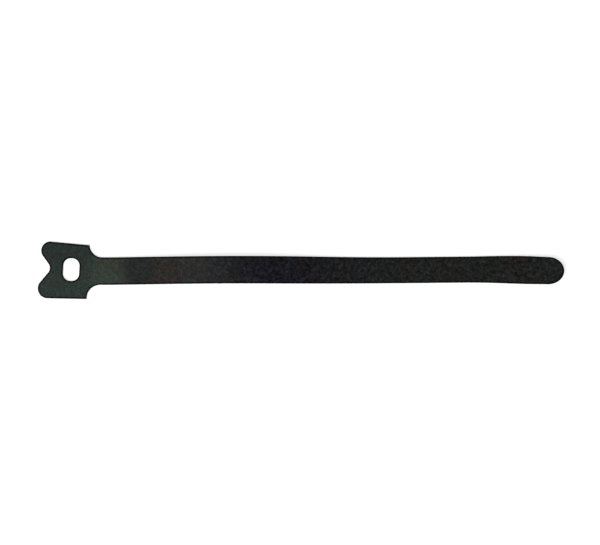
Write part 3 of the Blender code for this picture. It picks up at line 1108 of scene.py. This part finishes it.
def wear_group():
    """How far the pile stands open along the tie, and the knitted courses where it is flattened."""
    inputs = [("Pitch", "NodeSocketFloat", 0.00085), ("Contrast", "NodeSocketFloat", 0.1)]
    outputs = [("Courses", "NodeSocketFloat"), ("Openness", "NodeSocketFloat")]
    tree, sheet, given, made = node_group("Pile wear", inputs, outputs)
    place = sheet.place()
    along = sheet.add("ShaderNodeSeparateXYZ", Vector=place).outputs["X"]
    past_neck = sheet.ramp(along, -0.085, -0.070, 0.0, 0.15, label="a little past the neck")
    fluffy = sheet.ramp(along, -0.046, -0.012, 0.0, 0.85, label="wide open from here")
    rubbed = sheet.ramp(along, 0.008, 0.035, 0.0, 0.40, label="tail rubbed by threading")
    openness_there = sheet.maths("SUBTRACT", sheet.maths("ADD", past_neck, fluffy), rubbed)
    uneven = sheet.noise(place, 260.0, 2.0, "uneven courses")
    drift = sheet.ramp(uneven, 0.3, 0.7, -0.0004, 0.0004, "LINEAR")
    turns = sheet.maths("DIVIDE", sheet.maths("ADD", along, drift), given["Pitch"])
    wave = sheet.maths("SINE", sheet.maths("MULTIPLY", turns, 2 * math.pi))
    depth = sheet.maths("MULTIPLY", given["Contrast"], sheet.maths("SUBTRACT", 1.0, openness_there))
    tree.links.new(sheet.maths("ADD", sheet.maths("MULTIPLY", wave, depth), 1.0), made["Courses"])
    tree.links.new(openness_there, made["Openness"])
    return tree


def singed_and_shaded_rim_group():
    """How the hot die darkened the rim, partly painted shade: a shade that falls off towards the cut."""
    inputs = [("Width", "NodeSocketFloat", 0.0011), ("Darkest", "NodeSocketFloat", 0.18)]
    tree, sheet, given, made = node_group("Singed and shaded rim", inputs, [("Shade", "NodeSocketFloat")])
    gap = sheet.noted("cut_gap", "metres from the cut")
    uneven = sheet.noise(sheet.place(), 1500.0, 2.0, "uneven rim")
    shift = sheet.ramp(uneven, 0.3, 0.7, -0.00008, 0.00008, "LINEAR")
    # Painted shade in part: darker towards the cut, where the pile rounds down, and singed by the die
    shade = sheet.ramp(sheet.maths("ADD", gap, shift), 0.00045, given["Width"], given["Darkest"], 1.0)
    tree.links.new(shade, made["Shade"])
    return tree


GROUP_MAKERS = {
    "Strap tone": strap_tone_group,
    "Pile mottle": mottle_group,
    "Pile wear": wear_group,
    "Singed and shaded rim": singed_and_shaded_rim_group,
}


def effect(sheet, name, **values):
    """One of the shared node groups, placed in a material with its own values."""
    tree = bpy.data.node_groups.get(name) or GROUP_MAKERS[name]()
    return sheet.add("ShaderNodeGroup", name, {"node_tree": tree}, **values).outputs


def strap_tone(sheet, colours):
    """The strap's tone in the colours that the user set."""
    tones = {name: (*getattr(colours, name.lower()), 1.0) for name in TONE_NAMES}
    return effect(sheet, "Strap tone", **tones)["Colour"]


def new_material(name, roughness, specular, sheen=0.0):
    """A material with a Principled shader whose even values are set, and a sheet to draw the rest on."""
    material = bpy.data.materials.new(name)
    sheet = emptied(material)
    shader = sheet.add("ShaderNodeBsdfPrincipled", name)
    shader.inputs["Roughness"].default_value = roughness
    shader.inputs["Specular IOR Level"].default_value = specular
    shader.inputs["Sheen Weight"].default_value = sheen
    shader.inputs["Sheen Roughness"].default_value = 0.5
    sheet.add("ShaderNodeOutputMaterial", Surface=shader.outputs[0])
    return material, sheet, shader.inputs


def pile_shade(sheet, own, wear):
    """The pile's shade with all that varies it: clumps, knitted courses, and the singed rim's painted
    shade.
    """
    contrast = sheet.ramp(wear["Openness"], 0.0, 1.0, 0.26, 1.8, "LINEAR", "smoother where flattened")
    mottle = effect(sheet, "Pile mottle", Clump_Scale=600.0, Contrast=contrast)
    shade = own
    for factor in (mottle["Shade"], wear["Courses"], effect(sheet, "Singed and shaded rim")["Shade"]):
        shade = sheet.maths("MULTIPLY", shade, factor)
    return shade, mottle["Height"]


def mat_material(scene):
    """The closed mat under the fibres: painted shade in its hollows, painted light on its pressed curls."""
    material, sheet, shader = new_material("pile_mat", 0.95, 0.03, 0.03)
    wear = effect(sheet, "Pile wear", Contrast=0.09)
    relief = sheet.noted("relief", "pressed curls")
    # Painted shade and light: hollows painted darker, curls paler, more so where the pile stands open
    hollow = sheet.ramp(wear["Openness"], 0.0, 1.0, 0.68, 0.15, "LINEAR", "shade in the hollows")
    crest = sheet.ramp(wear["Openness"], 0.0, 1.0, 0.94, 1.60, "LINEAR", "shade on the curls")
    shade, height = pile_shade(sheet, sheet.ramp(relief, 0.15, 0.95, hollow, crest, "LINEAR"), wear)
    sheet.put(shader["Base Color"], sheet.shaded(strap_tone(sheet, scene.tie_colours), shade))
    sheet.put(shader["Normal"], sheet.bump("fibre relief", height, 0.5, 0.15 * MM))
    return material


def fibre_material(scene):
    """Nylon strands, each with its own shade of the strap's tone; some get painted glints, much brighter.
    """
    if "pile_fibre" in bpy.data.materials:
        return bpy.data.materials["pile_fibre"]
    material, sheet, shader = new_material("pile_fibre", 0.55, 0.08, 0.03)
    wear = effect(sheet, "Pile wear", Contrast=0.07)
    chance = sheet.add("ShaderNodeNewGeometry").outputs["Random Per Island"]
    # Painted highlight: a small share of strands is painted up to six times brighter, as glinting nylon
    painted_glints = sheet.maths("POWER", chance, 6.0, "few are bright")
    own = sheet.ramp(painted_glints, 0.0, 1.0, 0.50, 6.0, "LINEAR", "each strand's shade")
    spread = sheet.ramp(wear["Openness"], 0.0, 1.0, 0.06, 1.2, "LINEAR", "less varied where flattened")
    # Painted light: strands on the flattened head are painted 1.5 times paler, for the shade on their sides
    level = sheet.ramp(wear["Openness"], 0.0, 0.6, 1.50, 1.0, "LINEAR", "pressed strands catch the light")
    own = sheet.maths("ADD", sheet.maths("MULTIPLY", sheet.maths("SUBTRACT", own, 1.0), spread), level)
    shade, _ = pile_shade(sheet, own, wear)
    sheet.put(shader["Base Color"], sheet.shaded(strap_tone(sheet, scene.tie_colours), shade))
    return material


def cut_material(scene):
    """The cut edge: glossy moulded film below, and fabric fused dark by the hot die above, with painted
    shade.
    """
    material, sheet, shader = new_material("cut_edge", 0.6, 0.3)
    mottle = effect(sheet, "Pile mottle", Clump_Scale=1500.0, Contrast=0.4)
    layer = sheet.noted("layer", "through the tape")
    fabric = sheet.ramp(layer, 0.32, 0.40, label="film or fabric")
    # Partly painted shade: the cut fabric is painted far darker than the strap's tone
    shade = sheet.maths("MULTIPLY", mottle["Shade"], 0.42, "fused dark")
    fused = sheet.shaded(strap_tone(sheet, scene.tie_colours), shade)
    tone = sheet.blend(fabric, (*scene.tie_colours.plastic, 1.0), fused)
    sheet.put(shader["Base Color"], tone)
    sheet.put(shader["Roughness"], sheet.ramp(fabric, 0.0, 1.0, 0.42, 0.78, "LINEAR"))
    sheet.put(shader["Normal"], sheet.bump("cut fibre ends", mottle["Height"], 0.5, 0.1 * MM))
    return material


def moulded_plastic(sheet, shader, colours, scale, gloss):
    """Black moulded plastic, a little uneven. gloss is its lowest and highest roughness."""
    mottle = effect(sheet, "Pile mottle", Clump_Scale=scale, Contrast=0.15)
    sheet.put(shader["Base Color"], sheet.shaded((*colours.plastic, 1.0), mottle["Shade"]))
    roughness = sheet.ramp(mottle["Height"], 0.2, 0.8, *gloss, "LINEAR", "uneven gloss")
    sheet.put(shader["Roughness"], roughness)
    return mottle["Height"]


def film_material(scene):
    """The smooth film that the hooks are moulded with."""
    material, sheet, shader = new_material("hook_film", 0.45, 0.4)
    height = moulded_plastic(sheet, shader, scene.tie_colours, 260.0, (0.38, 0.55))
    sheet.put(shader["Normal"], sheet.bump("moulding marks", height, 0.25, 0.1 * MM))
    return material


def hook_material(scene):
    """Moulded hooks, a little glossier than their film."""
    material, sheet, shader = new_material("hook_plastic", 0.40, 0.45)
    moulded_plastic(sheet, shader, scene.tie_colours, 500.0, (0.30, 0.48))
    return material


# The stage in metres: half the table's side, how far it lies below the tie, and the lamp's width and place
TABLE_HALF = 4.0
TABLE_DROP = 0.05 * MM
LAMP_WIDTH = 1.1
LAMP_PLACE = (-0.50, -0.60, 1.50)
WHITE = (1.0, 1.0, 1.0, 1.0)
HALF_WHITE = (0.5, 0.5, 0.5, 1.0)


def seen_white(sheet):
    """1 for what the camera sees, also mirrored or through glass, and 0 for light that falls on the tie."""
    path = sheet.add("ShaderNodeLightPath").outputs
    mirrored = sheet.maths("MAXIMUM", path["Is Glossy Ray"], path["Is Transmission Ray"])
    return sheet.maths("MAXIMUM", path["Is Camera Ray"], mirrored)


class CABLETIE_OT_stage(bpy.types.Operator):
    """Sets the white table, the even sky, a soft lamp and the camera straight above"""

    bl_idname = "cable_tie.stage"
    bl_label = "Stage"

    def execute(self, context):
        scene = context.scene
        self.make_table(scene)
        self.make_sky(scene)
        self.make_lamp(scene)
        self.make_camera(scene)
        scene.view_settings.view_transform = "Standard"
        return {"FINISHED"}

    def make_table(self, scene):
        mesh = bpy.data.meshes.new("table_top")
        signs = ((-1, -1), (1, -1), (1, 1), (-1, 1))
        corners = [(x * TABLE_HALF, y * TABLE_HALF, 0.0) for x, y in signs]
        mesh.from_pydata(corners, [], [(0, 1, 2, 3)])
        mesh.materials.append(self.white_table(scene))
        table = new_object("table_top", mesh)
        table.location.z = -TABLE_DROP

    def white_table(self, scene):
        """Half of its white is a plain surface that takes shadows. The camera sees the rest as a glow."""
        material = bpy.data.materials.new("white_table")
        sheet = emptied(material)
        plain = sheet.add("ShaderNodeBsdfDiffuse", Color=HALF_WHITE).outputs[0]
        strength = sheet.maths("MULTIPLY", seen_white(sheet), scene.tie_stage.glow)
        glow = sheet.add("ShaderNodeEmission", Strength=strength).outputs[0]
        both = sheet.add("ShaderNodeAddShader")
        sheet.put(both.inputs[0], plain)
        sheet.put(both.inputs[1], glow)
        sheet.add("ShaderNodeOutputMaterial", Surface=both.outputs[0])
        return material

    def make_sky(self, scene):
        scene.world = bpy.data.worlds.new("sky")
        sheet = emptied(scene.world)
        seen = sheet.maths("MULTIPLY", seen_white(sheet), scene.tie_stage.backdrop)
        strength = sheet.maths("MAXIMUM", seen, scene.tie_stage.sky)
        sky = sheet.add("ShaderNodeBackground", Color=WHITE, Strength=strength)
        sheet.add("ShaderNodeOutputWorld", Surface=sky.outputs[0])

    def make_lamp(self, scene):
        lamp = bpy.data.lights.new("soft_lamp", "AREA")
        lamp.shape = "DISK"
        lamp.size = LAMP_WIDTH
        lamp.energy = scene.tie_stage.lamp_power
        holder = new_object("soft_lamp", lamp)
        holder.location = LAMP_PLACE
        holder.rotation_euler = (-holder.location).to_track_quat("-Z", "Y").to_euler()

    def make_camera(self, scene):
        stage = scene.tie_stage
        camera = bpy.data.cameras.new("camera")
        camera.sensor_width = 36.0
        camera.lens = camera.sensor_width * stage.camera_height / stage.picture_width
        camera.clip_start = 0.01
        camera.clip_end = 20.0
        holder = new_object("camera", camera)
        holder.location = (stage.aim_x, stage.aim_y, stage.camera_height)
        scene.camera = holder


GROUPS = {
    "tie_sizes": TieSizes,
    "tie_layers": TieLayers,
    "tie_lay": TieLay,
    "tie_fibres": TieFibres,
    "tie_hooks": TieHooks,
    "tie_colours": TieColours,
    "tie_stage": TieStage,
}
OPERATORS = (
    CABLETIE_OT_tape,
    CABLETIE_OT_pile,
    CABLETIE_OT_edge_fibres,
    CABLETIE_OT_hooks,
    CABLETIE_OT_stage,
)


class CABLETIE_PT_sidebar(bpy.types.Panel):
    """Lists the tie's sizes and colours, and the steps that make it"""

    bl_label = "Cable Tie"
    bl_space_type = "VIEW_3D"
    bl_region_type = "UI"
    bl_category = "Cable Tie"

    def draw(self, context):
        for attribute, group in GROUPS.items():
            box = self.layout.box()
            box.label(text=group.__doc__.split(".")[0])
            for name in group.__annotations__:
                box.prop(getattr(context.scene, attribute), name)
        for operator in OPERATORS:
            self.layout.operator(operator.bl_idname)


def register():
    for cls in (*GROUPS.values(), *OPERATORS, CABLETIE_PT_sidebar):
        bpy.utils.register_class(cls)
    for attribute, group in GROUPS.items():
        setattr(bpy.types.Scene, attribute, bpy.props.PointerProperty(type=group))


def unregister():
    for attribute in GROUPS:
        delattr(bpy.types.Scene, attribute)
    for cls in reversed((*GROUPS.values(), *OPERATORS, CABLETIE_PT_sidebar)):
        bpy.utils.unregister_class(cls)


def main():
    register()
    bpy.ops.cable_tie.tape()
    bpy.ops.cable_tie.pile()
    bpy.ops.cable_tie.edge_fibres()
    bpy.ops.cable_tie.hooks()
    bpy.ops.cable_tie.stage()


if __name__ == "__main__":
    main()
